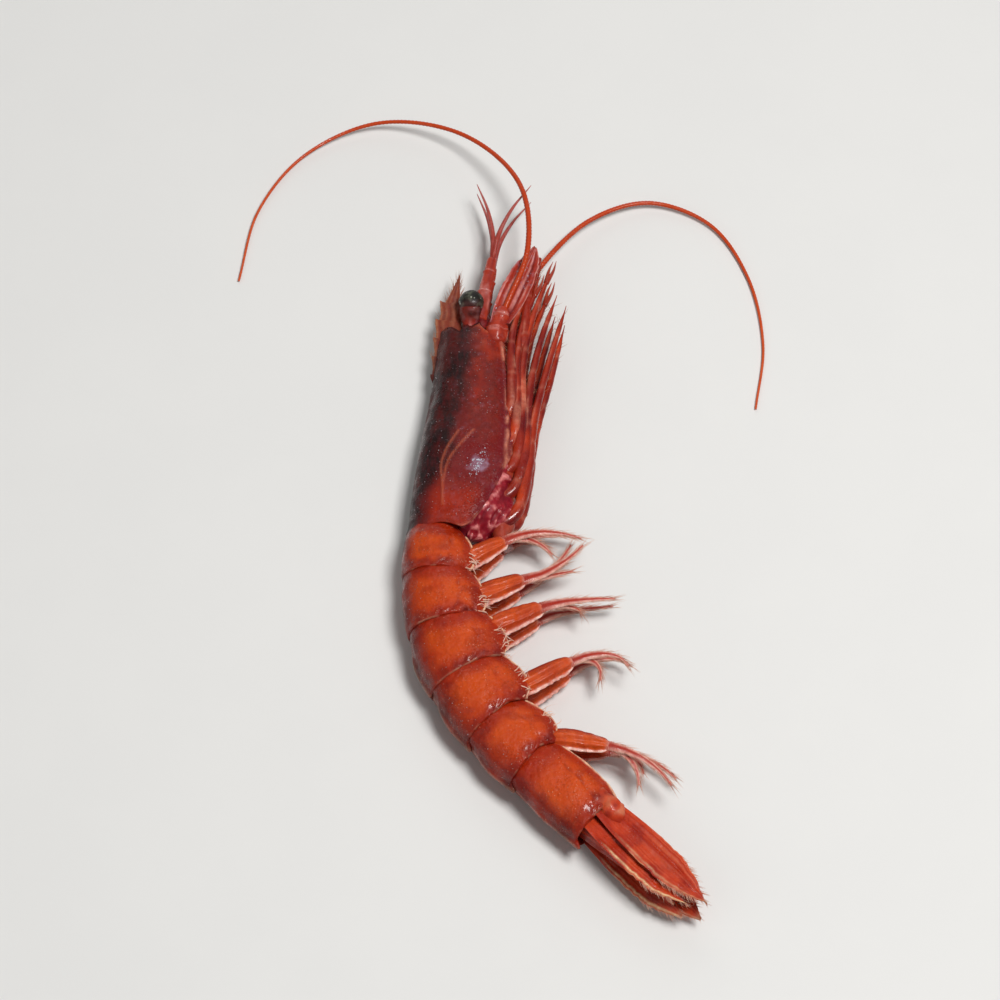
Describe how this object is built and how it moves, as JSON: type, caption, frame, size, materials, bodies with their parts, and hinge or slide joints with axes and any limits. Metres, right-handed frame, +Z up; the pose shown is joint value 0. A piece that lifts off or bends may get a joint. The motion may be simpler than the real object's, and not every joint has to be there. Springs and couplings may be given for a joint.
{
  "type": "raw red king prawn",
  "caption": "Whole raw red prawn lying on its side, with head, feelers, walking legs, swimming legs and folded tail fan.",
  "frame": {"origin": "centre of the footprint's bounding box, on the surface the prawn lies on", "axes": "+Y from the tail towards the head, +X towards the legs, +Z up through the right flank"},
  "size_m": [0.1146, 0.1918, 0.0147],
  "materials": {
    "shell": "wet, slightly frosted shell, orange on the tail and dark purple-red on the head"
  },
  "bodies": {
    "root": {"prawn": "shell"}
  },
  "joints": []
}
